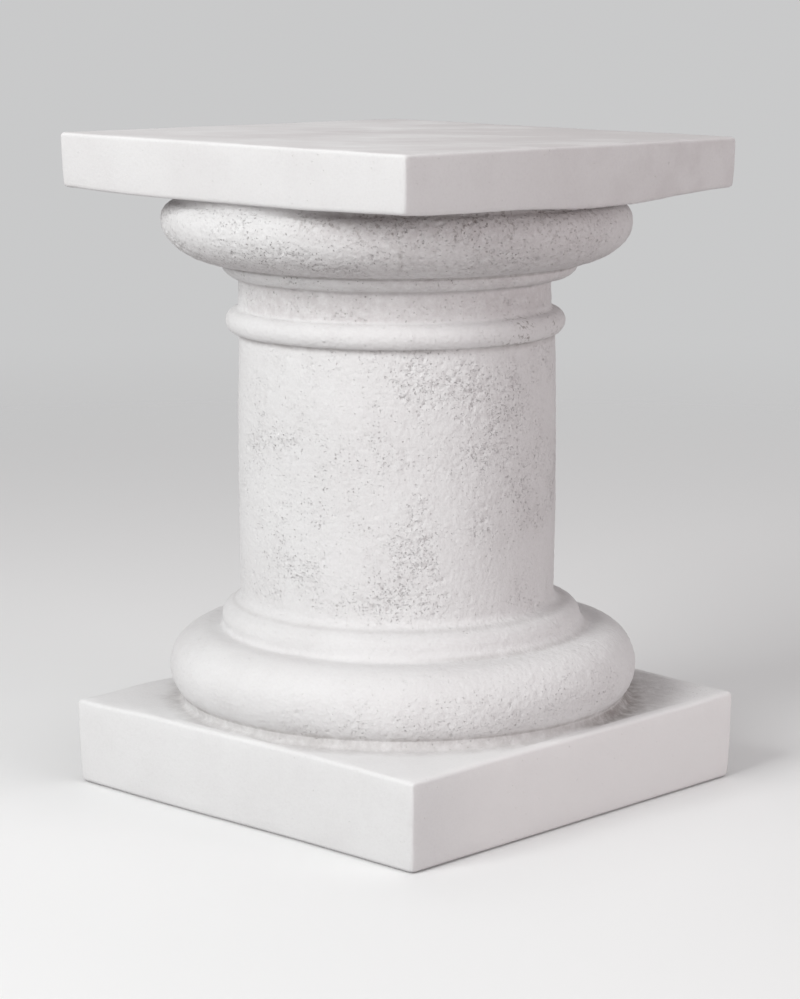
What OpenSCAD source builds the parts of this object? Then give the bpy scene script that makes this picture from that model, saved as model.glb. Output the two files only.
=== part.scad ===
// Doric column pedestal: a square plinth, a turned shaft between base and capital
// mouldings, and a square abacus, all cast in one piece.
// Origin at the centre of the underside, Z up, millimetres.

/* [Plinth] */
// Side of the square plinth, at its top
plinth_w = 300; // [220:1:480]
// Height of the plinth
plinth_h = 56; // [30:0.5:90]
// How far each side draws in on its way down to the floor
plinth_batter = 1.6; // [0.2:0.1:6]
// Radius of the plinth's lower edges
plinth_low_r = 3.5; // [1:0.1:8]
// Radius of the plinth's upper edges
plinth_top_r = 2.5; // [1:0.1:8]
// Radius of the plinth's upright corners
plinth_corner_r = 2.2; // [1:0.1:12]

/* [Base mouldings] */
// Height of the plain ring that lifts the torus off the plinth
foot_h = 6; // [2:0.1:15]
// How far the ring stands in from the torus
foot_set_in = 6; // [2:0.1:12]
// How far the torus stands in from the sides of the plinth
torus_set_in = 0.4; // [0.2:0.1:20]
// Radius of the torus moulding's section
torus_r = 24.3; // [12:0.1:34]
// Height of the torus's section that the ring below it takes away
torus_sunk = 7; // [1:0.1:11]
// Radius of the round moulding on top of the torus
collar_r = 9.1; // [4:0.1:14]
// Height of that moulding's section that the torus takes away
collar_sunk = 1.4; // [0.5:0.1:3]
// How far the round moulding stands out from the shaft
collar_out = 14.4; // [9:0.1:24]

/* [Shaft] */
// Radius of the shaft just above the base mouldings
shaft_low_r = 100.2; // [70:0.1:130]
// Radius of the shaft just below the astragal
shaft_top_r = 99.4; // [70:0.1:130]
// How far the shaft swells halfway up
entasis = 1.1; // [0:0.1:6]
// Length of the shaft between the two flares
shaft_h = 165; // [60:1:600]
// How far the shaft flares at its foot
flare_out = 4; // [1:0.1:7]
// Height of that flare
flare_h = 6.6; // [2:0.1:20]

/* [Necking] */
// Height of the astragal, the round bead at the top of the shaft
astragal_h = 15.5; // [8:0.1:30]
// How far the astragal stands out from the shaft
astragal_out = 7.4; // [3:0.1:14]
// How far the neck above the astragal stands in from the shaft
neck_in = 1.1; // [0.2:0.1:8]
// Height of the neck
neck_h = 18; // [8:0.1:60]
// Height of the annulet, the small ovolo under the echinus
annulet_h = 9.7; // [4:0.1:20]
// How far the annulet stands out from the neck
annulet_out = 12; // [5:0.1:22]
// Depth and height of the nick between annulet and echinus
nick = 0.9; // [0.4:0.1:2]

/* [Capital] */
// Height of the echinus from the nick to its widest place
echinus_h = 27; // [12:0.1:60]
// Angle of the ellipse at which the echinus leaves the nick
echinus_start = 82; // [50:1:86]
// How far the echinus stands in from the sides of the abacus
echinus_set_in = 1.7; // [0.5:0.1:20]
// Height of the lip that curls in above the widest place
lip_h = 12; // [4:0.1:24]
// How far that lip curls in
lip_in = 10; // [3:0.1:24]
// Height of the throat between the lip and the abacus
throat_h = 5; // [2:0.1:14]
// Side of the square abacus, at its top
abacus_w = 299.2; // [220:0.2:480]
// Height of the abacus
abacus_h = 35; // [18:0.1:70]
// How far each side draws in on its way down
abacus_batter = 1.6; // [0.2:0.1:6]
// Radius of the abacus's lower edges
abacus_low_r = 4; // [1:0.1:8]
// Radius of the abacus's upper edges
abacus_top_r = 2.5; // [1:0.1:8]
// Radius of the abacus's upright corners
abacus_corner_r = 2; // [1:0.1:12]

/* [Hidden] */
$fn = 96;

// Degrees that one straight run of a drawn curve covers, at most
ARC_STEP = 7.5;
// Straight runs up one bowed side of a slab, and up the swelling shaft
SIDE_STEPS = 6;
SHAFT_STEPS = 12;
// How deep the turned body is let into each slab
LET_IN = 8;
// Degrees at which a slab's corner arc runs out past its sides, and how far past
RUN_OUT = 6;
PAST = 1;

// Heights of the mouldings, each stacked on the one below it
foot_z = plinth_h;
torus_z = foot_z + foot_h;
collar_z = torus_z + 2 * torus_r - torus_sunk;
flare_z = collar_z + 2 * collar_r - collar_sunk;
shaft_z = flare_z + flare_h;
astragal_z = shaft_z + shaft_h;
neck_z = astragal_z + astragal_h;
annulet_z = neck_z + neck_h;
echinus_z = annulet_z + annulet_h + nick;
lip_z = echinus_z + echinus_h;
throat_z = lip_z + lip_h;
abacus_z = throat_z + throat_h;
total_h = abacus_z + abacus_h;

// Radii that follow from the slabs and the shaft
torus_out_r = plinth_w / 2 - torus_set_in;
foot_r = torus_out_r - foot_set_in;
neck_r = shaft_top_r - neck_in;
annulet_r = neck_r + annulet_out;
echinus_out_r = abacus_w / 2 - echinus_set_in;

// Points of an elliptical arc about c, with half-axes a and b, between two angles
function arc(c, a, b, from, to) =
    let (steps = max(2, ceil(abs(to - from) / ARC_STEP)))
    [for (i = [0 : steps])
        let (t = from + (to - from) * i / steps)
        [c[0] + a * cos(t), c[1] + b * sin(t)]];

// Points along the shaft, with its taper and its swelling
function shaft_r_at(t) =
    shaft_low_r + (shaft_top_r - shaft_low_r) * t + 4 * entasis * t * (1 - t);

function shaft_points() =
    [for (i = [0 : SHAFT_STEPS])
        let (t = i / SHAFT_STEPS)
        [shaft_r_at(t), shaft_z + shaft_h * t]];

// The torus: from the ring below it, round its belly, to where the collar stands on it
function torus_points() =
    let (c = [torus_out_r - torus_r, torus_z + torus_r - torus_sunk],
         low = asin((torus_z - c[1]) / torus_r),
         run = collar_points()[0][0] - c[0],
         high = run > 0 ? acos(min(1, run / torus_r)) : 90)
    arc(c, torus_r, torus_r, low, high);

// The round moulding between the torus and the shaft
function collar_points() =
    let (c = [shaft_low_r + collar_out - collar_r, collar_z + collar_r - collar_sunk],
         low = asin((collar_z - c[1]) / collar_r))
    arc(c, collar_r, collar_r, low, 90);

// The hollow curve by which the shaft spreads over the collar
function flare_points() =
    arc([shaft_low_r + flare_out, shaft_z], flare_out, flare_h, 270, 187);

// The bead at the top of the shaft, a half round
function astragal_points() =
    arc([shaft_top_r, astragal_z + astragal_h / 2], astragal_out, astragal_h / 2, -84, 84);

// The small ovolo, which starts level and ends upright
function annulet_points() =
    arc([neck_r, annulet_z + annulet_h], annulet_out, annulet_h, -85, 0);

// The echinus: part of a tall ellipse up to its widest place, then the lip
function echinus_points() =
    let (start_r = annulet_r + nick,
         a = (echinus_out_r - start_r) / (1 - cos(echinus_start)),
         b = echinus_h / sin(echinus_start))
    arc([echinus_out_r - a, lip_z], a, b, -echinus_start, 0);

function lip_points() =
    arc([echinus_out_r - lip_in, lip_z], lip_in, lip_h, ARC_STEP, 84);

// The whole outline of the turned body, from inside the plinth to inside the abacus
function turned_outline() = concat(
    [[0, foot_z - LET_IN], [foot_r, foot_z - LET_IN], [foot_r, torus_z]],
    torus_points(),
    collar_points(),
    flare_points(),
    shaft_points(),
    astragal_points(),
    [[neck_r, neck_z], [neck_r, annulet_z]],
    annulet_points(),
    [[annulet_r - nick, annulet_z + annulet_h + nick / 2]],
    echinus_points(),
    lip_points(),
    [[echinus_out_r - lip_in, throat_z], [echinus_out_r - lip_in, abacus_z + LET_IN]],
    [[0, abacus_z + LET_IN]]);

// Right half of a slab's upright section: round lower edge, bowed side, round upper edge
function slab_half(w, h, batter, low_r, top_r) =
    let (low = low_r, high = h - top_r)
    concat(
        arc([w / 2 - batter - low_r, low], low_r, low_r, -90, 0),
        [for (i = [1 : SIDE_STEPS - 1])
            let (t = i / SIDE_STEPS)
            [w / 2 - batter * pow(1 - t, 2), low + (high - low) * t]],
        arc([w / 2 - top_r, high], top_r, top_r, 0, 90));

function mirrored(points) =
    [for (i = [len(points) - 1 : -1 : 0]) [-points[i][0], points[i][1]]];

// Plan of a slab's rounded corners. Each arc runs out past the sides at a slight angle,
// so that it only ever meets them across an edge.
function corner_plan(w, r) =
    let (c = w / 2 - r,
         back = (PAST + r * (1 - cos(RUN_OUT))) / tan(RUN_OUT),
         far = [w / 2 + PAST, c + r * sin(RUN_OUT) - back],
         quarter = concat([far], arc([c, c], r, r, RUN_OUT, 90 - RUN_OUT), [[far[1], far[0]]]))
    [for (k = [0 : 3])
        for (p = quarter)
            [p[0] * cos(90 * k) - p[1] * sin(90 * k), p[0] * sin(90 * k) + p[1] * cos(90 * k)]];

// A square slab with bowed sides and soft edges, standing on z = 0
module slab(w, h, batter, low_r, top_r, corner_r) {
    half = slab_half(w, h, batter, low_r, top_r);
    section = concat(half, mirrored(half));
    intersection() {
        rotate([90, 0, 0])
            linear_extrude(w + 4 * PAST, center = true)
                polygon(section);
        rotate([90, 0, 90])
            linear_extrude(w + 4 * PAST, center = true)
                polygon(section);
        translate([0, 0, -PAST])
            linear_extrude(h + 2 * PAST)
                polygon(corner_plan(w, corner_r));
    }
}

module plinth() {
    slab(plinth_w, plinth_h, plinth_batter, plinth_low_r, plinth_top_r, plinth_corner_r);
}

module abacus() {
    translate([0, 0, abacus_z])
        slab(abacus_w, abacus_h, abacus_batter, abacus_low_r, abacus_top_r, abacus_corner_r);
}

module turned_body() {
    rotate_extrude()
        polygon(turned_outline());
}

// The one casting
module doric_column() {
    color([0.93, 0.92, 0.91]) {
        plinth();
        turned_body();
        abacus();
    }
}

doric_column();
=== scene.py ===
from math import asin, ceil, cos, degrees, pi, radians, sin
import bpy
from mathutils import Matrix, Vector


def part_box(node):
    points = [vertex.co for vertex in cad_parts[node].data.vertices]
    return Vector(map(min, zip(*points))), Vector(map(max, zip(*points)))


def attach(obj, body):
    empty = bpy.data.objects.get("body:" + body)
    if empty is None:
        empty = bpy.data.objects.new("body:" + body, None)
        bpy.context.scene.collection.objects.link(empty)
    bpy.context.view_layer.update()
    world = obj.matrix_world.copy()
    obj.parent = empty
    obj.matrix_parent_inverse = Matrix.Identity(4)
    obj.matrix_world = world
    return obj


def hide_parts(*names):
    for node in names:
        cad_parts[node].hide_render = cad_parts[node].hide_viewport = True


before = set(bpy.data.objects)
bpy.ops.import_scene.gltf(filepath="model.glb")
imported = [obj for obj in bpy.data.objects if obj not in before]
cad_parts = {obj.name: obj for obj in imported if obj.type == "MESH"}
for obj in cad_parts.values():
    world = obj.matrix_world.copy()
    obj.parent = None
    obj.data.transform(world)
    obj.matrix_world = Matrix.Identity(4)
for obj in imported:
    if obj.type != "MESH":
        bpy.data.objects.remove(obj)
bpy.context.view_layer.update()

from types import SimpleNamespace

import bpy
from bpy.props import FloatProperty, FloatVectorProperty, IntProperty
from mathutils import Euler, Matrix, Vector

bl_info = {
    "name": "Doric Column Casting",
    "version": (1, 0, 0),
    "blender": (4, 5, 0),
    "location": "3D View > Sidebar > Column",
    "description": "A square-footed Doric column cast in white plaster, and a plain stage for it",
    "category": "Object",
}

NODE = "doric_column"
MM = 0.001
CAD_LOW, CAD_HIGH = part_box(NODE)
HALF_SIDE = (CAD_HIGH.x - CAD_LOW.x) / 2 / MM
DIAGONAL = 2 ** -0.5


# -------------------- sizes and colours


def length(name, description, millimetres, low=0.0, high=1000.0):
    """A length property. Its default and range are given in millimetres and kept in metres."""
    return FloatProperty(
        name=name,
        description=description,
        default=millimetres * MM,
        min=low * MM,
        max=high * MM,
        unit="LENGTH",
        precision=4,
    )


def colour(name, description, red, green, blue):
    """A colour property."""
    return FloatVectorProperty(
        name=name, description=description, subtype="COLOR", default=(red, green, blue), min=0, max=1
    )


def share(name, description):
    """How much of a fault is kept: all of it at 1."""
    return FloatProperty(
        name=name, description=description, default=1.0, min=0.0, max=2.0, subtype="FACTOR"
    )


def angle(name, description, turn):
    """An angle property. Its default is given in degrees."""
    return FloatProperty(name=name, description=description, default=radians(turn), subtype="ANGLE")


def lamp_power(name, description, watts):
    """The power of a lamp."""
    return FloatProperty(name=name, description=description, default=watts, unit="POWER")


class ColumnSizes(bpy.types.PropertyGroup):
    """The column's mouldings, from the floor up."""

    plinth_side: length("Plinth side", "Side of the square plinth", (CAD_HIGH.x - CAD_LOW.x) / MM)
    plinth_height: length("Plinth height", "Height of the plinth", 56)
    plinth_batter: length("Plinth batter", "How far each side draws in towards the floor", 1.4)
    plinth_low_round: length("Plinth lower edge", "Radius of the lower edges", 3, 0.5, 9)
    plinth_top_round: length("Plinth upper edge", "Radius of the upper edges", 2.8, 0.5, 9)

    foot_height: length("Foot height", "Height of the plain ring under the torus", 6)
    foot_set_in: length("Foot set in", "How far that ring stands in from the torus", 6.5)
    foot_cove: length("Foot cove", "Radius in which that ring spreads on to the plinth", 3.5)
    torus_set_in: length("Torus set in", "How far the torus stands in from the plinth", 0.4)
    torus_round: length("Torus", "Radius of the torus's section", 24.3)
    torus_sunk: length("Torus sunk", "Height of the torus lost in the ring below", 7)
    collar_round: length("Collar", "Radius of the round moulding on the torus", 9.4)
    collar_sunk: length("Collar sunk", "Height of that moulding lost in the torus", 2.4)
    collar_out: length("Collar projection", "How far it stands out from the shaft", 14.6)

    shaft_low: length("Shaft foot radius", "Radius of the shaft above the base", 100.2)
    shaft_top: length("Shaft top radius", "Radius of the shaft below the astragal", 99.8)
    entasis: length("Entasis", "How far the shaft swells halfway up", 0.9)
    shaft_length: length("Shaft length", "Length of the plain shaft", 165)
    flare_out: length("Flare", "How far the shaft spreads at its foot", 6)
    flare_height: length("Flare height", "Height of that spread", 7)

    astragal_height: length("Astragal height", "Height of the bead at the shaft's top", 15.5)
    astragal_out: length("Astragal projection", "How far the bead stands out", 7.5)
    neck_in: length("Neck", "How far the neck stands in from the shaft", 1.2)
    neck_spread: length("Neck spread", "How much wider the neck is at its top", 0.5)
    neck_height: length("Neck height", "Height of the neck", 19.4)
    annulet_height: length("Annulet height", "Height of the small ovolo on the neck", 8.4)
    annulet_out: length("Annulet projection", "How far the ovolo stands out", 12.9)
    nick_in: length("Nick", "How far the echinus starts inside the annulet's edge", 3.0)
    nick_height: length("Nick height", "Height of the groove between them", 0.8)

    echinus_height: length("Echinus height", "Height from the nick to the widest place", 27)
    echinus_set_in: length("Echinus set in", "How far it stands in from the abacus", 1.9)
    lip_height: length("Lip height", "Height over which the echinus curls back in", 12)
    lip_in: length("Lip", "How far it curls back in", 10)
    throat_height: length("Throat", "Height between the echinus and the abacus", 5)
    abacus_side: length("Abacus side", "Side of the square abacus", 299.8)
    abacus_batter: length("Abacus batter", "How far each side draws in downwards", 0.9)
    abacus_low_round: length("Abacus lower edge", "Radius of the lower edges", 2.4, 0.5, 9)
    abacus_top_round: length("Abacus upper edge", "Radius of the upper edges", 2.3, 0.5, 9)
    crease: length("Creases", "How far the narrow creases are filled in", 2.2, 0, 8)
    base_crease: length("Base creases", "How far the creases of the base are filled in", 8, 0, 12)


class CastingFinish(bpy.types.PropertyGroup):
    """How true and how clean the casting is, and its colours, which also carry painted shade and painted
    bounce light.
    """

    voxel: length("Cell", "Size of the cells in which the mouldings are joined", 0.8, 0.4, 6)
    triangles: IntProperty(name="Triangles", description="Most triangles kept", default=192000, min=5000)
    seed: IntProperty(name="Seed", description="Moves the broad unevenness about", default=3)
    sway: share("Sway", "How much of the mouldings' sideways drift is kept")
    sag: share("Sag", "How much of the abacus's tilt and sagging edges is kept")
    waver: length("Waver", "Depth of the broad unevenness of every surface", 0.9, 0, 5)
    peel: length("Peel", "Depth of the shallow orange-peel texture", 0.42, 0, 2)
    pit_depth: length("Pit depth", "Depth of the deepest dents", 0.85, 0, 3)
    seam: length("Seam", "Height of the mould seam", 0.25, 0, 3)
    plaster: colour("Plaster", "Colour of the clean plaster", 0.815, 0.811, 0.812)
    # Painted bounce light: the colour that whitens the plinth's right-hand side
    bounce_light_plaster: colour("Cleanest plaster", "Colour of the plinth's whitest side", 0.9, 0.888, 0.884)
    # Greys both for handling and for painted shade
    handled_and_shaded: colour("Handled plaster", "Colour of plaster greyed by handling", 0.62, 0.595, 0.597)
    # Also the colour of painted shade in holes, dents and creases
    grime_and_shade: colour("Grime", "Colour of the dust caught in holes and creases", 0.22, 0.19, 0.176)


class StageSettings(bpy.types.PropertyGroup):
    """The camera's place and the light."""

    corner_turn: angle("Turn", "Angle of the camera round the column, from the front of a side", 44.1)
    distance: length("Distance", "Level distance from the column's axis", 1839.6, 300, 9000)
    height: length("Height", "Height of the camera above the floor", 511.5, 0, 5000)
    aside: length("Aside", "How far the camera stands to its right", -1.7, -500, 500)
    tilt: angle("Tilt", "How far the camera looks down", 10.107)
    lens: FloatProperty(
        name="Lens", description="Focal length", default=105.3, unit="CAMERA", min=20, max=300
    )
    key: lamp_power("Key", "Power of the main lamp", 50)
    top: lamp_power("Top", "Power of the lamp overhead", 18.5)
    fill: lamp_power("Fill", "Power of the fill lamp", 21.5)
    rear: lamp_power("Rear", "Power of the rear lamp", 4)
    sky: FloatProperty(name="Sky", description="Strength of the even light", default=0.24, min=0)
    floor: colour("Floor", "Colour of the floor", 0.87, 0.87, 0.87)
    floor_light: colour("Floor light", "Colour of the light that the floor throws back", 0.45, 0.44, 0.44)
    backdrop: colour("Backdrop", "Colour behind the column", 0.585, 0.587, 0.59)


# -------------------- node trees as expressions


def binary(operation, swapped=False):
    """An operator of Value that adds one Math node."""

    def method(self, other):
        pair = (other, self) if swapped else (self, other)
        return self.net.math(operation, *pair)

    return method


class Value:
    """One output of a node. Arithmetic on it adds Math nodes to its tree."""

    def __init__(self, net, socket):
        self.net = net
        self.socket = socket

    __add__ = __radd__ = binary("ADD")
    __sub__, __rsub__ = binary("SUBTRACT"), binary("SUBTRACT", swapped=True)
    __mul__ = __rmul__ = binary("MULTIPLY")
    __truediv__, __rtruediv__ = binary("DIVIDE"), binary("DIVIDE", swapped=True)
    __mod__ = binary("MODULO")
    __pow__ = binary("POWER")

    def __neg__(self):
        return self * -1.0

    def __abs__(self):
        return self.net.math("ABSOLUTE", self)


class Net:
    """A node tree and the one way in which nodes are added to it."""

    def __init__(self, tree):
        self.tree = tree

    def node(self, kind, settings=None, values=None, out=0):
        """Adds a node, sets it, feeds its sockets and returns its output as a Value."""
        made = self.tree.nodes.new(kind)
        for name, setting in (settings or {}).items():
            if name == "stops":
                self._set_stops(made.color_ramp, setting)
            else:
                setattr(made, name, setting)
        for key, value in (values or {}).items():
            self._feed(self._pick(made.inputs, key), value)
        return Value(self, self._pick(made.outputs, out)) if made.outputs else None

    def _set_stops(self, ramp, stops):
        while len(ramp.elements) < len(stops):
            ramp.elements.new(1.0)
        for element, (place, level) in zip(ramp.elements, stops):
            element.position = place
            element.color = (level, level, level, 1.0)

    def _pick(self, sockets, key):
        if isinstance(key, int):
            return sockets[key]
        return next(s for s in sockets if s.name == key and s.enabled)

    def _feed(self, socket, value):
        for one in value if isinstance(value, list) else [value]:
            if isinstance(one, Value):
                self.tree.links.new(one.socket, socket)
            elif isinstance(one, (tuple, Vector)) and len(socket.default_value) == 4:
                socket.default_value = (*one, 1.0)
            else:
                socket.default_value = one

    # Short names for the nodes that fields are made of.

    def math(self, operation, *values):
        return self.node("ShaderNodeMath", {"operation": operation}, dict(enumerate(values)))

    def largest(self, first, second):
        return self.math("MAXIMUM", first, second)

    def smallest(self, first, second):
        return self.math("MINIMUM", first, second)

    def vector(self, operation, *values, out=0):
        settings = {"operation": operation}
        return self.node("ShaderNodeVectorMath", settings, dict(enumerate(values)), out)

    def scaled(self, vector, factor):
        return self.node(
            "ShaderNodeVectorMath", {"operation": "SCALE"}, {"Vector": vector, "Scale": factor}
        )

    def compose(self, x, y, z):
        return self.node("ShaderNodeCombineXYZ", values={"X": x, "Y": y, "Z": z})

    def parts(self, vector):
        split = self.node("ShaderNodeSeparateXYZ", values={"Vector": vector})
        return [Value(self, s) for s in split.socket.node.outputs]

    def rise(self, value, start, end, low=0.0, high=1.0):
        """low before start, high after end, and a smooth step between them."""
        if start > end:
            start, end, low, high = end, start, high, low
        return self.node(
            "ShaderNodeMapRange",
            {"interpolation_type": "SMOOTHSTEP"},
            {"Value": value, "From Min": start, "From Max": end, "To Min": low, "To Max": high},
        )

    def between(self, value, start, full, fading, end):
        """0 up to start, 1 from full to fading, and 0 again from end on."""
        return self.rise(value, start, full) * self.rise(value, end, fading)

    def mix(self, factor, first, second):
        """A colour between two."""
        values = {"Factor": factor, "A": first, "B": second}
        return self.node("ShaderNodeMix", {"data_type": "RGBA"}, values, "Result")

    def noise(self, place, grain, detail=2.0, roughness=0.5, out="Fac"):
        """Soft noise whose features are about grain millimetres across."""
        return self.node(
            "ShaderNodeTexNoise",
            values={"Vector": place, "Scale": 1 / grain, "Detail": detail, "Roughness": roughness},
            out=out,
        )

    def cells(self, place, spacing, out="Distance"):
        return self.node(
            "ShaderNodeTexVoronoi",
            values={"Vector": place, "Scale": 1 / spacing, "Randomness": 1.0},
            out=out,
        )


SOCKETS = {int: "NodeSocketInt", float: "NodeSocketFloat", type(None): "NodeSocketObject"}


def geometry_tree(name, inputs):
    """An empty geometry tree with a Geometry input and the named ones, each with its default,
    which for an object is None."""
    tree = bpy.data.node_groups.new(name, "GeometryNodeTree")
    tree.interface.new_socket("Geometry", in_out="INPUT", socket_type="NodeSocketGeometry")
    for label, default in inputs.items():
        socket = tree.interface.new_socket(label, in_out="INPUT", socket_type=SOCKETS[type(default)])
        if default is not None:
            socket.default_value = default
    tree.interface.new_socket("Geometry", in_out="OUTPUT", socket_type="NodeSocketGeometry")
    net = Net(tree)
    entry = net.node("NodeGroupInput").socket.node
    given = {s.name: Value(net, s) for s in entry.outputs if s.name}
    return net, given


def close_tree(net, geometry, material=None):
    """Ends a tree: its instances become real, and it takes its material."""
    real = net.node("GeometryNodeRealizeInstances", values={"Geometry": geometry})
    if material is not None:
        real = net.node("GeometryNodeSetMaterial", values={"Geometry": real, "Material": material})
    net.node("NodeGroupOutput", values={"Geometry": real})
    return net.tree


def emptied(owner):
    """The node tree of a material or a world, with nothing in it yet."""
    owner.use_nodes = True
    owner.node_tree.nodes.clear()
    return Net(owner.node_tree)


def add_nodes(obj, tree, **settings):
    """Puts a geometry tree on an object. Settings name its inputs, with _ for a space."""
    modifier = obj.modifiers.new(tree.name, "NODES")
    modifier.node_group = tree
    for item in tree.interface.items_tree:
        key = item.name.lower().replace(" ", "_")
        if item.in_out == "INPUT" and key in settings:
            modifier[item.identifier] = settings[key]


def settle(obj):
    """Swaps an object's mesh for what its modifiers make of it, and removes them."""
    graph = bpy.context.evaluated_depsgraph_get()
    mesh = bpy.data.meshes.new_from_object(obj.evaluated_get(graph), depsgraph=graph)
    old = obj.data
    obj.modifiers.clear()
    obj.data = mesh
    bpy.data.meshes.remove(old)


# -------------------- sections of the mouldings

ARC_STEP = radians(5)


def arc(centre_r, centre_z, out, up, start, end):
    """Points of an elliptical arc in a section, from one angle in degrees to another."""
    start, end = radians(start), radians(end)
    steps = max(3, ceil(abs(end - start) / ARC_STEP))
    turns = [start + (end - start) * i / steps for i in range(steps + 1)]
    return [(centre_r + out * cos(t), centre_z + up * sin(t)) for t in turns]


def softened(points, corner, reach):
    """Fills in a crease: the outline within reach of a corner becomes one easy curve."""
    at = Vector(corner)
    away = [(Vector(point) - at).length for point in points]
    first = last = away.index(min(away))
    while first > 0 and away[first] < reach:
        first -= 1
    while last < len(points) - 1 and away[last] < reach:
        last += 1

    def meeting(near, far):
        part = (reach - away[near]) / (away[far] - away[near])
        return Vector(points[near]).lerp(Vector(points[far]), part)

    def direction(here, there):
        return (Vector(points[there]) - Vector(points[here])).normalized()

    start, end = meeting(first + 1, first), meeting(last - 1, last)
    pull = (end - start).length * 0.4
    first_pull = start + direction(first, first + 1) * pull
    last_pull = end - direction(last - 1, last) * pull
    curve = []
    for turn in (i / 10 for i in range(11)):
        rest = 1 - turn
        ends = rest ** 3 * start + turn ** 3 * end
        middle = 3 * rest * turn * (rest * first_pull + turn * last_pull)
        curve.append(tuple(ends + middle))
    return points[: first + 1] + curve + points[last:]


class Heights:
    """Where each moulding begins, each stacked on the one below it."""

    def __init__(self, s):
        self.foot = s.plinth_height
        self.torus = self.foot + s.foot_height
        self.collar = self.torus + 2 * s.torus_round - s.torus_sunk
        self.flare = self.collar + 2 * s.collar_round - s.collar_sunk
        self.shaft = self.flare + s.flare_height
        self.astragal = self.shaft + s.shaft_length
        self.neck = self.astragal + s.astragal_height
        self.annulet = self.neck + s.neck_height
        self.echinus = self.annulet + s.annulet_height + s.nick_height
        self.widest = self.echinus + s.echinus_height
        self.throat = self.widest + s.lip_height
        self.abacus = self.throat + s.throat_height
        self.top = CAD_HIGH.z
        self.torus_reach = s.plinth_side / 2 - s.torus_set_in
        self.collar_reach = s.shaft_low + s.collar_out

    def in_millimetres(self):
        return SimpleNamespace(**{name: height / MM for name, height in vars(self).items()})


def slab_section(s, slab, low, high):
    """Half the upright section of a square slab with bowed sides and round edges."""
    parts = ("side", "batter", "low_round", "top_round")
    side, batter, low_round, top_round = (getattr(s, slab + "_" + part) for part in parts)
    steps = 16
    start, end = low + low_round, high - top_round
    lower = arc(side / 2 - batter - low_round, start, low_round, low_round, -90, 0)
    upper = arc(side / 2 - top_round, end, top_round, top_round, 0, 90)
    bowed = [
        (side / 2 - batter * (1 - i / steps) ** 2, start + (end - start) * i / steps)
        for i in range(1, steps)
    ]
    return [(0, low), *lower, *bowed, *upper, (0, high)]


def turned_section(s, h):
    """The outline of the turned body, from inside the plinth to inside the abacus."""
    let_in = 8 * MM
    torus_r, collar_r = h.torus_reach, h.collar_reach
    foot_r = torus_r - s.foot_set_in
    torus_z = h.torus + s.torus_round - s.torus_sunk
    torus_start = -degrees(asin((torus_z - h.torus) / s.torus_round))
    collar_z = h.collar + s.collar_round - s.collar_sunk
    collar_start = -degrees(asin((collar_z - h.collar) / s.collar_round))
    neck_r = s.shaft_top - s.neck_in
    annulet_r = neck_r + s.neck_spread + s.annulet_out
    widest_r = s.abacus_side / 2 - s.echinus_set_in
    echinus_r = annulet_r - s.nick_in
    echinus_turn = 84
    echinus_out = (widest_r - echinus_r) / (1 - cos(radians(echinus_turn)))
    echinus_up = s.echinus_height / sin(radians(echinus_turn))
    steps = 24

    def shaft_r(t):
        return s.shaft_low + (s.shaft_top - s.shaft_low) * t + 4 * s.entasis * t * (1 - t)

    cove = s.foot_cove
    foot = [(0, h.foot - let_in), (foot_r + cove, h.foot - let_in)]
    foot += arc(foot_r + cove, h.foot + cove, cove, cove, 270, 190) + [(foot_r - 0.8 * MM, h.torus)]
    torus = arc(torus_r - s.torus_round, torus_z, s.torus_round, s.torus_round, torus_start, 88)
    collar = arc(collar_r - s.collar_round, collar_z, s.collar_round, s.collar_round, collar_start, 90)
    flare = arc(s.shaft_low + s.flare_out, h.shaft, s.flare_out, s.flare_height, 270, 184)
    shaft = [(shaft_r(i / steps), h.shaft + s.shaft_length * i / steps) for i in range(steps + 1)]
    bead_z, bead_up = (h.astragal + h.neck) / 2, s.astragal_height / 2
    astragal = arc(s.shaft_top, bead_z, s.astragal_out, bead_up, -86, 86)
    neck = arc(neck_r + s.neck_spread, h.annulet, s.neck_spread, s.neck_height, 266, 184)
    annulet = arc(
        annulet_r - s.annulet_out, h.annulet + s.annulet_height, s.annulet_out, s.annulet_height, -84, 0
    )
    nick = (echinus_r, h.echinus - s.nick_height / 2)
    echinus = arc(widest_r - echinus_out, h.widest, echinus_out, echinus_up, -echinus_turn, 0)
    lip = arc(widest_r - s.lip_in, h.widest, s.lip_in, s.lip_height, 4, 86)
    throat_r = widest_r - s.lip_in
    points = [*foot, *torus, *collar, *flare, *shaft, *astragal, *neck, *annulet, nick, *echinus, *lip]
    points += [(throat_r, h.abacus + let_in), (0, h.abacus + let_in)]
    creases = (
        (foot[-1], s.crease / 2),
        (collar[0], s.base_crease),
        (collar[-1], s.base_crease),
        (astragal[0], s.crease / 2),
        (astragal[-1], s.crease / 2),
        (annulet[0], s.crease),
        (nick, s.crease),
    )
    for corner, reach in creases:
        points = softened(points, corner, reach)
    return points


def placed(name, data):
    """A new object in the scene."""
    obj = bpy.data.objects.new(name, data)
    bpy.context.scene.collection.objects.link(obj)
    return obj


def section_object(name, points):
    """A section as a chain of edges in the XZ plane."""
    mesh = bpy.data.meshes.new(name)
    edges = [(i, i + 1) for i in range(len(points) - 1)]
    mesh.from_pydata([(r, 0, z) for r, z in points], edges, [])
    return placed(name, mesh)


# -------------------- the form: sections swept round a plan


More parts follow.
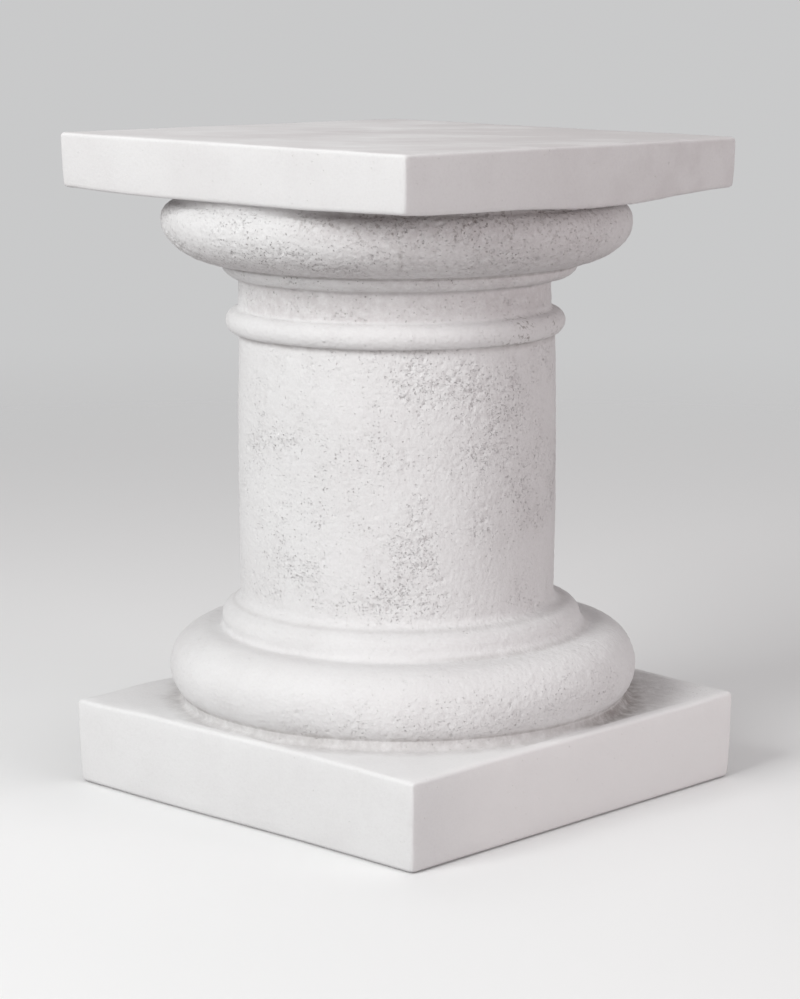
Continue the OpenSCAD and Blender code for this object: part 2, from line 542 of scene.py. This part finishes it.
def sweep(net, section, segments, power):
    """Carries a section round the axis on a superellipse plan: power 2 is a circle, and a
    high power is a square with slightly rounded corners."""
    geometry = net.node(
        "GeometryNodeObjectInfo", {"transform_space": "ORIGINAL"}, {"Object": section}, "Geometry"
    )
    rows = net.node("GeometryNodeAttributeDomainSize", values={"Geometry": geometry}, out="Point Count")
    grid = net.node(
        "GeometryNodeMeshGrid",
        values={"Size X": 1.0, "Size Y": 1.0, "Vertices X": segments + 1, "Vertices Y": rows},
        out="Mesh",
    )
    index = net.node("GeometryNodeInputIndex")
    row = index % rows
    column = (index - row) / rows
    point = net.node(
        "GeometryNodeSampleIndex",
        {"data_type": "FLOAT_VECTOR", "domain": "POINT"},
        {"Geometry": geometry, "Value": net.node("GeometryNodeInputPosition"), "Index": row},
    )
    r, _, z = net.parts(point)
    turn = column * (2 * pi / segments)
    east, north = net.math("COSINE", turn), net.math("SINE", turn)
    plan = (abs(east) ** power + abs(north) ** power) ** (-1 / power)
    place = net.compose(r * plan * east, r * plan * north, z)
    shell = net.node("GeometryNodeSetPosition", values={"Geometry": grid, "Position": place})
    return net.node("GeometryNodeMergeByDistance", values={"Geometry": shell, "Distance": 0.01 * MM})


def form_tree():
    """Plinth, turned body and abacus, each its own closed shell."""
    objects = {"Plinth": None, "Turned body": None, "Abacus": None}
    slab, turned = {"Slab steps": 1440, "Slab power": 170.0}, {"Round steps": 480, "Round power": 2.0}
    net, given = geometry_tree("Column form", {**objects, **slab, **turned})
    shells = [
        sweep(net, given["Plinth"], given["Slab steps"], given["Slab power"]),
        sweep(net, given["Turned body"], given["Round steps"], given["Round power"]),
        sweep(net, given["Abacus"], given["Slab steps"], given["Slab power"]),
    ]
    joined = net.node("GeometryNodeJoinGeometry", values={"Geometry": shells})
    return close_tree(net, joined)


# -------------------- fields shared by mesh and colour
# A field is worked out from a place on the casting, in millimetres, and it gives the same
# number in a geometry tree and in a material.


def axes(net, place):
    """The place split three ways: towards the right-hand corner, towards the front, and up."""
    x, y, z = net.parts(place)
    return (x + y) * DIAGONAL, (x - y) * DIAGONAL, z


# Rough patches at the front: place to the right of the middle, height above the foot of
# the shaft (below it on the base), reach and strength.
ROUGH_PATCHES = (
    (5, 144, 13, 1.0), (10, 160, 8, 0.8), (40, 148, 13, 0.85), (60, 138, 16, 0.6),
    (10, 72, 9, 0.6), (6, 50, 14, 0.9), (9, 30, 13, 0.8), (16, 8, 14, 0.65),
    (-10, 5, 14, 0.5), (-74, 106, 10, 0.8), (-90, 104, 7, 0.6), (-60, 24, 12, 0.9),
    (-74, 60, 14, 0.4), (-30, 6, 16, 0.5), (50, 98, 27, 0.42), (86, 70, 20, 0.4),
    (48, 52, 9, 0.6), (-62, -51, 12, 0.6), (-28, -54, 16, 0.6), (4, -51, 13, 0.85),
    (30, -53, 12, 0.9), (58, -49, 17, 0.9), (84, -43, 16, 0.6), (104, -26, 20, 0.7),
    (76, -10, 16, 0.6), (126, -46, 18, 0.5),
)


def rough_patches(net, right, front, z, h):
    """The places where the shaft's front is roughest, from 0 to 1."""
    total = 0.0
    flat = net.compose(right, z - h.shaft, 0.0)
    for across, up, reach, strength in ROUGH_PATCHES:
        away = net.vector("DISTANCE", flat, (across, up, 0.0), out="Value")
        total = total + net.rise(away, reach * 1.7, reach * 0.2, 0.0, strength)
    broken = net.rise(net.noise(net.compose(right, front, z), 9, 2.0), 0.3, 0.6, 0.35, 1.0)
    return net.smallest(total, 1.0) * net.rise(front, 0, 30) * broken


def wearing(net, place, h):
    """How pitted the casting is at a place, from 0 to 1, by moulding and in clusters."""
    right, front, z = axes(net, place)
    bands = [
        (0, 0.05), (h.foot - 1, 0.05), (h.foot + 1, 0.6), (h.torus + 10, 0.65),
        (h.torus + 30, 0.45), (h.collar - 8, 0.35), (h.flare - 2, 0.3), (h.shaft + 4, 1.0),
        (h.astragal - 20, 1.0), (h.astragal, 0.85), (h.astragal + 3, 0.25), (h.neck - 1, 0.55),
        (h.neck + 2, 0.75), (h.annulet, 0.7), (h.echinus, 0.8), (h.echinus + 8, 1.0),
        (h.widest, 0.75), (h.throat, 0.9), (h.abacus - 1, 0.3), (h.abacus + 1, 0.05),
    ]
    by_height = net.node(
        "ShaderNodeValToRGB",
        {"stops": [(z0 / h.top, level) for z0, level in bands]},
        {"Fac": z / h.top},
    )
    clusters = net.rise(net.noise(place, 34, 3.0, 0.6), 0.4, 0.68)
    patches = rough_patches(net, right, front, z, h)
    even = net.rise(z, h.neck - 3, h.neck + 4, 0.22, 0.6)
    even = even * (0.75 + 0.5 * net.noise(place, 20, 2.0))
    return by_height * net.smallest(1.0, even + clusters * 0.55 + patches)


def ragged(net, place, grain, reach):
    """The place moved about by fine noise, so that what is round there comes out ragged."""
    offset = net.vector("SUBTRACT", net.noise(place, grain, 1.0, out="Color"), (0.5, 0.5, 0.5))
    return net.vector("ADD", place, net.scaled(offset, 2 * reach))


def turned_part(net, z, h):
    """1 on the turned mouldings and 0 on the two slabs."""
    return net.between(z, h.foot, h.foot + 3, h.abacus - 2, h.abacus + 1)


def seam_distance(net, place, right):
    """How far a place is from the wavering line of the mould seam, to either side."""
    return abs(right + 2.5 + net.noise(place, 30, 1.0) * 3)


def holes(net, place, spacing, largest, wear):
    """Air holes: 1 at the bottom of each and 0 between them. Worn places hold larger ones."""
    moved = ragged(net, place, spacing * 0.8, spacing * 0.35)
    distance = net.cells(moved, spacing) * spacing
    chance, _, _ = net.parts(net.cells(moved, spacing, "Color"))
    reach = largest * net.rise(wear + chance * 0.75 - 0.55, 0.0, 0.9)
    depth = 1 - distance / net.largest(reach, 0.02)
    return net.rise(depth, 0.0, 0.55)


def dents(net, place, grain, wear, least=0.75, give=0.14):
    """Irregular dents, wider than they are high, which crowd together where it is worn."""
    flattened = net.vector("MULTIPLY", place, (1.0, 1.0, 1.35))
    level = least - give * wear
    return net.rise(net.noise(flattened, grain, 1.5, 0.5) - level, 0.0, 0.07)


def broad_dents(net, place, wear):
    """The dents that are deep enough to be in the mesh."""
    return dents(net, place, 4.2, wear) + dents(net, place, 2.7, wear) * 0.6


# -------------------- the cast surface

# How the mouldings drift sideways from each other: height at which a step starts, height
# at which it ends, both as moulding names with millimetres added, and the step itself.
DRIFT = (
    ("foot", 1, "foot", 6, -1.85),
    ("torus", 26, "collar", 0, 1.7),
    ("collar", 0, "collar", 7, -2.85),
    ("flare", -1, "flare", 2, -2.5),
    ("astragal", -1, "astragal", 2, -1.0),
    ("neck", -1, "neck", 2, -0.5),
    ("annulet", -1, "annulet", 2, 3.1),
    ("echinus", -1, "echinus", 1, -0.9),
    ("echinus", 4, "throat", 0, -1.2),
    ("throat", 0, "abacus", -1, 1.6),
)


def drift(net, z, h):
    """Sideways place of the mouldings at each height, in millimetres to the right."""
    total = 2.0
    for start, start_add, end, end_add, step in DRIFT:
        low = getattr(h, start) + start_add
        high = getattr(h, end) + end_add
        total = total + net.rise(z, low, high) * step
    return total


# How far out from the middle, in millimetres, the faults of a slab's side begin
INNER = 40

# How far the abacus's lower edges hang down along its two front sides: place along the
# side from its middle, and drop, both in millimetres.
SAG_ON_LEFT = ((-149, -0.9), (-101, 0.4), (-60, 1.0), (-20, 0.8), (67, 0.95), (116, -0.2), (149, -1.0))
SAG_ON_RIGHT = (
    (-149, -0.8), (-129, 0.1), (-101, 0.6), (-50, 1.0), (-24, 2.1), (3, 3.3),
    (30, 2.8), (59, 2.0), (88, -0.1), (118, -2.1), (149, -3.4),
)


def along_side(net, along, table):
    """A smooth curve through a table of places along a side and lengths in millimetres."""
    reach, span = HALF_SIDE, 8
    stops = [((place + reach) / (2 * reach), 0.5 + value / span) for place, value in table]
    curve = net.node("ShaderNodeValToRGB", {"stops": stops}, {"Fac": (along + reach) / (2 * reach)})
    curve.socket.node.color_ramp.interpolation = "CARDINAL"
    return (curve - 0.5) * span


def abacus_drop(net, x, y, z, h):
    """How far the abacus hangs down: it tilts, and its lower edges sag between the corners."""
    right, _, _ = axes(net, net.compose(x, y, z))
    half, throat, abacus, top = HALF_SIDE, h.throat, h.abacus, h.top

    def belly(along):
        return net.rise(abs(along), half, 0)

    on_left, on_right = net.rise(-y, INNER, half), net.rise(x, INNER, half)
    sag = along_side(net, x, SAG_ON_LEFT) * on_left + along_side(net, y, SAG_ON_RIGHT) * on_right
    sag = sag + on_left * on_right * 0.9
    rear = belly(y) * net.rise(-x, INNER, half) * 1.6 + belly(x) * net.rise(y, INNER, half) * 1.2
    lower = net.rise(z, throat, abacus - 0.3) * net.rise(z, top - 8, abacus + 4)
    corner_out, corner_drop, middle_rise = 211, 1.6, 0.45
    tilt = (right * (corner_drop / corner_out) - middle_rise) * net.rise(z, throat, abacus)
    return (sag + rear) * lower + tilt


def plinth_lift(net, x, y, z, h):
    """How far the plinth's top stands high along one side, and low along another and at two
    of its corners."""
    right, front, _ = axes(net, net.compose(x, y, z))
    half, foot = HALF_SIDE, h.foot
    high = net.rise(abs(x), half, INNER) * net.rise(y, INNER, half) * 3.2
    high = high + net.rise(right, 130, 190) * net.rise(y, 100, half) * 0.8
    low = net.rise(abs(y), 100, 20) * net.rise(-x, INNER, half) * 2.6
    low = low + net.rise(right, -160, -200) * 1.3 + net.rise(front, 160, 205) * 0.6
    return (high - low) * net.rise(z, foot - 36, foot - 2) * net.rise(z, foot + 6, foot + 0.5)


def plinth_spread(net, x, y, z, h):
    """How far the plinth's left-hand corner stands forward of its true place."""
    right, _, _ = axes(net, net.compose(x, y, z))
    outer = net.rise(net.largest(abs(x), abs(y)), 60, HALF_SIDE)
    return net.rise(right, -50, -170) * outer * net.rise(z, h.foot + 2, h.foot + 0.6) * 5


def surface_tree(h, finish, material):
    """Turns the true form into the casting: drift, sag, waver, peel, seam and dents."""
    inputs = {name: getattr(finish, name.lower()) for name in ("Seed", "Sway", "Sag", "Waver", "Peel")}
    inputs.update({"Pit depth": finish.pit_depth, "Seam": finish.seam})
    net, given = geometry_tree("Cast surface", inputs)

    def place_now():
        return net.scaled(net.node("GeometryNodeInputPosition"), 1 / MM)

    def push(geometry, depth):
        """Moves the surface out along its normal by a depth in metres."""
        offset = net.scaled(net.node("GeometryNodeInputNormal"), depth)
        return net.node("GeometryNodeSetPosition", values={"Geometry": geometry, "Offset": offset})

    # Drift and sag
    x, y, z = net.parts(place_now())
    aside = drift(net, z, h) * given["Sway"] * DIAGONAL
    forward = plinth_spread(net, x, y, z, h) * given["Sway"] * DIAGONAL
    lift = plinth_lift(net, x, y, z, h) - abacus_drop(net, x, y, z, h)
    moved = net.compose(aside + forward, aside - forward, lift * given["Sag"])
    offset = net.scaled(moved, MM)
    bent = net.node(
        "GeometryNodeSetPosition", values={"Geometry": given["Geometry"], "Offset": offset}
    )

    # Broad waver
    shifted = net.vector("ADD", place_now(), net.compose(given["Seed"] * 37.0, 0.0, 0.0))
    broad = net.noise(shifted, 75, 1.0) - 0.5
    middling = net.noise(shifted, 22, 2.0) - 0.5
    z = net.parts(place_now())[2]
    above = net.rise(z, 2, 12)
    waved = push(bent, (broad + middling * 0.4) * given["Waver"] * above)

    # Fine relief
    place = place_now()
    right, _, z = axes(net, place)
    wear = wearing(net, place, h)
    body = turned_part(net, z, h)
    peel = (net.noise(place, 4.4, 2.0, 0.5) - 0.5) * (0.85 + wear) * body
    ridge = net.rise(seam_distance(net, place, right), 1.2, 0.2) * body
    ridge = ridge * net.rise(z, h.flare, h.shaft)
    ridge = ridge * net.rise(net.noise(place, 14, 1.0), 0.4, 0.65)
    pits = broad_dents(net, place, wear) * body
    relief = peel * given["Peel"] * 2 + ridge * given["Seam"] - pits * given["Pit depth"]
    finished = push(waved, relief * net.rise(z, 1.5, 4))
    smooth = net.node("GeometryNodeSetShadeSmooth", values={"Geometry": finished})
    return close_tree(net, smooth, material)


# -------------------- the plaster


class Plaster:
    """What handling, soot and dust do to the casting, and the shade and bounce light painted
    into its colour, as fields over its surface. A number added to a moulding's height is in millimetres."""

    # How strongly each kind of grey, dust and painted shade shows
    CLOUDS, MOTTLING, GRAIN, SOOT = 0.2, 0.34, 0.1, 0.85
    HANDLING, RIGHT_SIDE, SMUDGES = 0.13, 0.27, 0.2
    AT_FOOT, AT_REAR, AT_COLLAR, FLECKS = 0.45, 0.6, 0.6, 0.85

    def __init__(self, net, h):
        self.net, self.h = net, h
        self.place = net.scaled(net.node("ShaderNodeTexCoord", out="Object"), 1 / MM)
        self.x, self.y, _ = net.parts(self.place)
        self.right, self.front, self.z = axes(net, self.place)
        self.from_axis = net.vector("LENGTH", net.compose(self.x, self.y, 0.0), out="Value")
        self.wear = wearing(net, self.place, h)
        self.mottle = net.rise(net.noise(self.place, 6, 4.0, 0.65), 0.4, 0.8)
        self.capital = net.between(self.z, h.neck + 1, h.neck + 6, h.throat, h.abacus)
        # The front, where soot, flecks and painted shade gather
        self.dirt_and_shade_front = net.between(self.right, -85, -35, 80, 160) * net.rise(self.front, 0, 50)
        behind = net.rise(net.noise(self.place, 55, 2.0), 0.4, 0.65) * net.rise(self.front, 60, 0)
        self.dirty_behind = behind * 0.5
        self.dirty = net.largest(self.dirt_and_shade_front, self.dirty_behind)
        _, _, facing = net.parts(net.node("ShaderNodeTexCoord", out="Normal"))
        self.on_top = net.rise(facing, 0.7, 0.97) * net.rise(self.z, h.top - 8, h.top - 6)
        wiped = ragged(net, net.compose(self.right / 1.6, self.front, 0.0), 60, 20)
        self.wiped = net.noise(wiped, 55, 4.0, 0.55)

    def greyed(self):
        """Grey all over: clouds, mottling, wiped streaks on top that darken towards the right as painted
        shade, soot with painted shade, and handling with painted shade on the right.
        """
        net = self.net
        cloud = net.rise(net.noise(self.place, 70, 4.0, 0.6), 0.35, 0.75)
        fine = net.rise(net.noise(self.place, 1.8, 3.0, 0.6), 0.42, 0.72)
        streaks = net.rise(self.wiped, 0.27, 0.73) * self.on_top
        # Painted shade: the streaks on top grow darker towards the right
        streaks = streaks * net.rise(self.right, -180, 150, 0.45, 0.95)
        total = self.handled_and_shaded() + cloud * self.CLOUDS + self.mottle * self.wear * self.MOTTLING
        return total + streaks + self.soot_and_shade() * self.SOOT + fine * self.GRAIN

    def handled_and_shaded(self):
        """Grey from hands above the plinth and on the abacus, smudges on the abacus's right, and painted
        shade down the right-hand side from the collar up.
        """
        net, h, z = self.net, self.h, self.z
        total = (net.rise(z, h.torus, h.torus + 9) + net.rise(z, h.throat, h.abacus)) * self.HANDLING
        # Painted shade: the right-hand side, turned away from the key lamp, greyed from the collar up
        on_right = net.rise(self.right, 15, 95) * net.rise(z, h.collar, h.shaft + 20)
        smudged = net.rise(net.noise(self.place, 24, 3.0), 0.4, 0.62)
        smudged = smudged * net.rise(z, h.abacus - 1, h.abacus) * net.rise(self.right, 70, 190)
        return total + on_right * self.RIGHT_SIDE + smudged * self.SMUDGES

    def soot_and_shade(self):
        """Soot and painted shade on the capital and the neck. The echinus's lower band is painted shade;
        at the front, soot lies with a painted shadow under the abacus and painted shade towards the right;
        at the rear, soot lies in patches; and the neck's front is darker towards the left.
        """
        net, h, z = self.net, self.h, self.z
        # Painted shade: the echinus's lower band, which turns down away from the light
        lower_band = net.between(z, h.echinus - 1, h.echinus + 1, h.echinus + 4, h.echinus + 19)
        # At the front: soot together with a painted shadow under the abacus, and painted shade towards the
        # right
        upper_band = net.rise(z, h.widest - 8, h.widest + 4)
        at_front = net.largest(upper_band, net.rise(self.right, -62, 8) * 0.8) * self.dirt_and_shade_front
        total = net.largest(lower_band * 0.8, net.largest(at_front, self.dirty_behind)) * self.capital
        # The neck's front, darker towards the left
        on_neck = net.between(z, h.neck - 1, h.neck + 3, h.annulet - 2, h.annulet + 1)
        on_neck = on_neck * net.rise(self.front, 20, 60) * net.rise(self.right, 100, -70, 0.3, 0.95)
        patchy = net.rise(net.noise(self.place, 5, 4.0, 0.7), 0.1, 0.75)
        return net.largest(total, on_neck) * patchy

    def creased_dust_and_shade(self):
        """Dust and painted shade in the creases between mouldings and under the abacus."""
        net, h, z = self.net, self.h, self.z
        # Height, how far the dust and painted shade reach below it and above it, and how thickly they lie
        creases = (
            (h.torus, 1.0, 10.0, 0.26),
            (h.torus, 1.0, 3.0, 0.2),
            (h.flare + 0.5, 1.5, 1.5, 0.2),
            (h.astragal, 4.5, 1.5, 0.5),
            (h.annulet, 3.0, 1.5, 0.3),
            (h.echinus - 0.5, 1.4, 2.0, 0.65),
            (h.throat + 1, 9, 9, 0.4),
        )
        total = 0.0
        for at, below, above, thickness in creases:
            total = total + net.between(z, at - below, at, at, at + above) * thickness
        patchy = net.rise(net.noise(self.place, 14, 4.0, 0.7), 0.2, 0.7, 0.3, 1.0)
        high_up = net.rise(z, h.widest, h.widest + 6)
        return total * patchy * (1 - high_up * (1 - self.dirty))

    def settled_dust_and_shade(self):
        """Dust and painted shade on the flat places of the base: dust with painted crease shade round
        the torus, dust with a painted shadow of the column at the rear right-hand corner of the plinth,
        and dust against the collar."""
        net, h, z = self.net, self.h, self.z
        torus, collar = h.torus_reach, h.collar_reach
        spread = self.from_axis + net.noise(self.place, 16, 2.0) * 14
        # Dust and painted shade in the crease round the foot of the torus
        at_foot = net.between(z, h.foot - 3, h.foot - 1, h.foot + 4, h.foot + 9)
        at_foot = at_foot * net.rise(spread, torus + 17, torus + 2)
        # Dust and a painted shadow of the column on the plinth's top, rear right
        rear_dust_and_shadow = net.between(z, h.foot - 3, h.foot - 1, h.foot + 4, h.foot + 6)
        rear_dust_and_shadow = rear_dust_and_shadow * net.rise(self.right, 95, 130) * net.rise(self.from_axis, torus + 48, torus - 4)
        at_collar = net.between(z, h.collar - 3, h.collar - 0.5, h.collar + 0.5, h.collar + 4)
        at_collar = at_collar * net.rise(self.from_axis, collar + 7, collar) * net.rise(self.right, -5, 45)
        patchy = net.rise(net.noise(self.place, 7, 4.0, 0.7), 0.2, 0.7, 0.35, 1.0)
        total = at_foot * self.AT_FOOT + rear_dust_and_shadow * self.AT_REAR + at_collar * self.AT_COLLAR
        return total * patchy

    def flecked(self):
        """Dark flecks under the abacus and on the right of the astragal."""
        net, h, z = self.net, self.h, self.z
        under = net.between(z, h.widest - 12, h.throat, h.throat, h.abacus) * self.dirty
        beaded = net.between(z, h.astragal - 2, h.astragal + 1, h.neck, h.neck + 2)
        beaded = beaded * net.rise(self.right, 35, 70)
        fine = net.rise(net.noise(self.place, 2.6, 3.0, 0.6), 0.52, 0.66)
        return net.largest(under, beaded) * fine * net.rise(net.noise(self.place, 22, 3.0), 0.36, 0.6)

    def seamed(self):
        """The dirt that the mould seam holds low on the echinus."""
        net, low = self.net, self.h.echinus
        seam = net.rise(seam_distance(net, self.place, self.right), 2.2, 0.3)
        seam = seam * net.between(self.z, low + 2, low + 7, low + 15, low + 26)
        return seam * net.rise(net.noise(self.place, 6, 3.0), 0.34, 0.56) * net.rise(self.front, 0, 30)

    def dusty_and_shaded(self):
        """All the dust and painted shade, which stay off the upright sides of the two slabs."""
        net = self.net
        inside = net.rise(net.largest(abs(self.x), abs(self.y)), 147, 144)
        total = (self.creased_dust_and_shade() + self.settled_dust_and_shade() + self.flecked() * self.FLECKS) * inside
        wiped = net.rise(self.wiped, 0.25, 0.7, 0.03, 0.13)
        # On the abacus's top: dust that grows darker towards the right, partly painted shade
        return total + self.on_top * net.rise(self.right, -20, 170) * wiped

    def painted_bounce_light(self):
        """Painted bounce light: the plinth's right-hand side made whiter, for the light that the floor
        throws up on it.
        """
        net, foot = self.net, self.h.foot
        return net.rise(self.z, foot + 1, foot - 2) * net.rise(self.right, 4, 60) * 0.8


# How strongly dents, air holes and the seam show in the colour: the dents and holes as dirt held in
# them with painted shade in their hollows, the seam as dirt. Also how deep the finest are pressed
# into the bump, in millimetres.
DARK = {"dents": 0.08, "small dents": 0.11, "specks": 0.32, "seam": 0.4, "pinholes": 0.5}
DEEP = {"small dents": 0.45, "specks": 0.5, "pinholes": 0.4}


def plaster_material(h, finish):
    """Unpainted cast plaster: clouded white, greyed by handling, with dust in holes and creases,
    and with shade, shadow and bounce light painted into its colour.
    """
    material = bpy.data.materials.new("cast plaster")
    net = emptied(material)
    plaster = Plaster(net, h)
    place, wear = plaster.place, plaster.wear

    marks = {
        "dents": broad_dents(net, place, wear),
        "small dents": dents(net, place, 1.6, wear),
        "specks": holes(net, place, 2.6, 0.8, wear),
        "seam": plaster.seamed(),
    }
    pinholes = holes(net, place, 11.0, 0.55, net.largest(wear, 0.42))
    filled = net.rise(net.noise(place, 15, 2.0), 0.4, 0.6, 0.3, 1.0) * (1 + plaster.capital)
    dark = sum(mark * DARK[name] for name, mark in marks.items()) * filled
    dark = net.smallest(1.0, dark + pinholes * DARK["pinholes"] + plaster.dusty_and_shaded())

    colour = net.mix(plaster.greyed(), tuple(finish.plaster), tuple(finish.handled_and_shaded))
    # Painted bounce light on the plinth's right-hand side
    colour = net.mix(plaster.painted_bounce_light(), colour, tuple(finish.bounce_light_plaster))
    # Dirt, dust and painted shade, all mixed towards one dark colour
    colour = net.mix(dark * 0.8, colour, tuple(finish.grime_and_shade))

    body = turned_part(net, plaster.z, h)
    grain = net.noise(place, 1.2, 3.0, 0.6)
    skin = net.noise(place, 2.6, 2.0, 0.5)
    height = grain * 0.08 + skin * (0.16 + body * (0.29 + 0.4 * wear))
    height = height - marks["small dents"] * DEEP["small dents"] - marks["specks"] * DEEP["specks"]
    height = height - pinholes * DEEP["pinholes"]
    relief = {"Height": height, "Strength": 1.0, "Distance": MM}
    skinned = {
        "Base Color": colour,
        "Roughness": 0.82 + plaster.mottle * 0.12,
        "Normal": net.node("ShaderNodeBump", values=relief, out="Normal"),
        "IOR": 1.45,
    }
    shader = net.node("ShaderNodeBsdfPrincipled", values=skinned)
    net.node("ShaderNodeOutputMaterial", values={"Surface": shader})
    return material


# -------------------- operators


class CASTING_OT_column(bpy.types.Operator):
    """Cast the column: sweep its mouldings, join them into one shell and give it its skin"""

    bl_idname = "casting.column"
    bl_label = "Cast Column"

    def execute(self, context):
        sizes, finish = context.scene.column_sizes, context.scene.casting_finish
        h = Heights(sizes)
        outlines = {
            "plinth": slab_section(sizes, "plinth", 0.0, h.foot),
            "turned_body": turned_section(sizes, h),
            "abacus": slab_section(sizes, "abacus", h.abacus, h.top),
        }
        sections = {name: section_object(name + " section", line) for name, line in outlines.items()}
        column = placed("column_casting", bpy.data.meshes.new("column_casting"))
        add_nodes(column, form_tree(), **sections)
        joining = column.modifiers.new("Joining", "REMESH")
        joining.mode = "VOXEL"
        joining.voxel_size = finish.voxel * 1.0
        material = plaster_material(h.in_millimetres(), finish)
        add_nodes(column, surface_tree(h.in_millimetres(), finish, material))
        settle(column)
        for section in sections.values():
            bpy.data.objects.remove(section)

        count = sum(len(p.vertices) - 2 for p in column.data.polygons)
        if count > finish.triangles:
            thinning = column.modifiers.new("Thinning", "DECIMATE")
            thinning.ratio = finish.triangles / count
            settle(column)
        if not column.data.polygons:
            raise RuntimeError("the casting came out empty")
        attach(column, "root")
        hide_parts(NODE)
        return {"FINISHED"}


class CASTING_OT_stage(bpy.types.Operator):
    """Set the floor, the soft light and the camera round the column"""

    bl_idname = "casting.stage"
    bl_label = "Set Stage"

    def execute(self, context):
        stage = context.scene.column_stage
        turn = Matrix.Rotation(stage.corner_turn, 4, "Z")
        self.add_floor(stage)
        self.add_sky(context, stage)
        cool, warm = (0.985, 1.0, 0.995), (1.0, 0.93, 0.94)
        # Name, degrees aside from the camera and up from level, power and tint
        lamps = (
            ("key lamp", -45, 28, stage.key, cool),
            ("overhead lamp", 0, 85, stage.top, cool),
            ("fill lamp", 53, 10, stage.fill, warm),
            ("rear lamp", 165, 30, stage.rear, warm),
        )
        for name, aside, up, power, tint in lamps:
            lamp = self.add_lamp(name, turn, radians(aside), radians(up))
            lamp.energy = power
            lamp.color = tint
        self.add_camera(context, stage, turn)
        context.scene.view_settings.view_transform = "Standard"
        return {"FINISHED"}

    def seen_directly(self, net):
        """1 for rays that show the backdrop itself, 0 for those that only carry its light."""
        rays = net.node("ShaderNodeLightPath").socket.node.outputs
        names = ("Is Camera Ray", "Is Glossy Ray", "Is Transmission Ray")
        camera, glossy, through = (Value(net, rays[name]) for name in names)
        return net.smallest(camera + glossy + through, 1.0)

    def add_floor(self, stage):
        """A wide disc that fades into the backdrop with distance."""
        steps, reach = 96, 9.0
        mesh = bpy.data.meshes.new("floor")
        rim = [(reach * cos(2 * pi * i / steps), reach * sin(2 * pi * i / steps), 0) for i in range(steps)]
        mesh.from_pydata(rim, [], [tuple(range(steps))])
        floor = placed("floor", mesh)
        floor.location.z = -0.2 * MM

        material = bpy.data.materials.new("pale floor")
        net = emptied(material)
        place = net.node("ShaderNodeTexCoord", out="Object")
        fade_start, fade_end = 0.45, 2.4
        away = net.rise(net.vector("LENGTH", place, out="Value"), fade_start, fade_end)
        seen = self.seen_directly(net)
        colour = net.mix(seen, tuple(stage.floor_light), tuple(stage.floor))
        lit = net.node(
            "ShaderNodeBsdfPrincipled",
            values={"Base Color": colour, "Roughness": 0.7, "Specular IOR Level": 0.2},
        )
        clear = net.node("ShaderNodeBsdfTransparent")
        faded = net.node("ShaderNodeMixShader", values={0: away * seen, 1: lit, 2: clear})
        net.node("ShaderNodeOutputMaterial", values={"Surface": faded})
        mesh.materials.append(material)

    def add_sky(self, context, stage):
        """Even light from all round, with the backdrop's colour where the camera looks."""
        world = bpy.data.worlds.new("studio")
        net = emptied(world)
        tints = ((1.02, 0.98, 0.985), stage.sky), (tuple(stage.backdrop), 1.0)
        light, backdrop = (
            net.node("ShaderNodeBackground", values={"Color": tint, "Strength": strength})
            for tint, strength in tints
        )
        seen = self.seen_directly(net)
        both = net.node("ShaderNodeMixShader", values={0: seen, 1: light, 2: backdrop})
        net.node("ShaderNodeOutputWorld", values={"Surface": both})
        context.scene.world = world

    def add_lamp(self, name, turn, aside, up):
        """A square soft lamp, aside from the camera and up from level, that looks at the column."""
        away = 2.6
        middle = Vector((0, 0, CAD_HIGH.z / 2))
        place = Vector((sin(aside) * cos(up), -cos(aside) * cos(up), sin(up))) * away
        data = bpy.data.lights.new(name, "AREA")
        data.size = 1.2
        lamp = placed(name, data)
        lamp.location = turn @ place + middle
        lamp.visible_camera = False
        lamp.rotation_euler = (middle - lamp.location).to_track_quat("-Z", "Y").to_euler()
        return data

    def add_camera(self, context, stage, turn):
        data = bpy.data.cameras.new("camera")
        data.lens = stage.lens
        data.sensor_width = 36.0
        data.dof.use_dof = False
        camera = placed("camera", data)
        camera.location = turn @ Vector((stage.aside, -stage.distance, stage.height))
        camera.rotation_euler = Euler((pi / 2 - stage.tilt, 0, stage.corner_turn))
        context.scene.camera = camera


class CASTING_PT_column(bpy.types.Panel):
    """Sizes, finish and stage of the column casting"""

    bl_idname = "CASTING_PT_column"
    bl_label = "Doric Column"
    bl_space_type = "VIEW_3D"
    bl_region_type = "UI"
    bl_category = "Column"

    def draw(self, context):
        layout = self.layout
        groups = (
            (context.scene.column_sizes, CASTING_OT_column.bl_idname),
            (context.scene.casting_finish, None),
            (context.scene.column_stage, CASTING_OT_stage.bl_idname),
        )
        for group, operator in groups:
            box = layout.box()
            for name in type(group).__annotations__:
                box.prop(group, name)
            if operator:
                box.operator(operator)


SETTINGS = {
    "column_sizes": ColumnSizes,
    "casting_finish": CastingFinish,
    "column_stage": StageSettings,
}
CLASSES = (*SETTINGS.values(), CASTING_OT_column, CASTING_OT_stage, CASTING_PT_column)


def register():
    for cls in CLASSES:
        bpy.utils.register_class(cls)
    for name, group in SETTINGS.items():
        setattr(bpy.types.Scene, name, bpy.props.PointerProperty(type=group))


def unregister():
    for name in SETTINGS:
        delattr(bpy.types.Scene, name)
    for cls in reversed(CLASSES):
        bpy.utils.unregister_class(cls)


def main():
    register()
    bpy.ops.casting.column()
    bpy.ops.casting.stage()


if __name__ == "__main__":
    main()
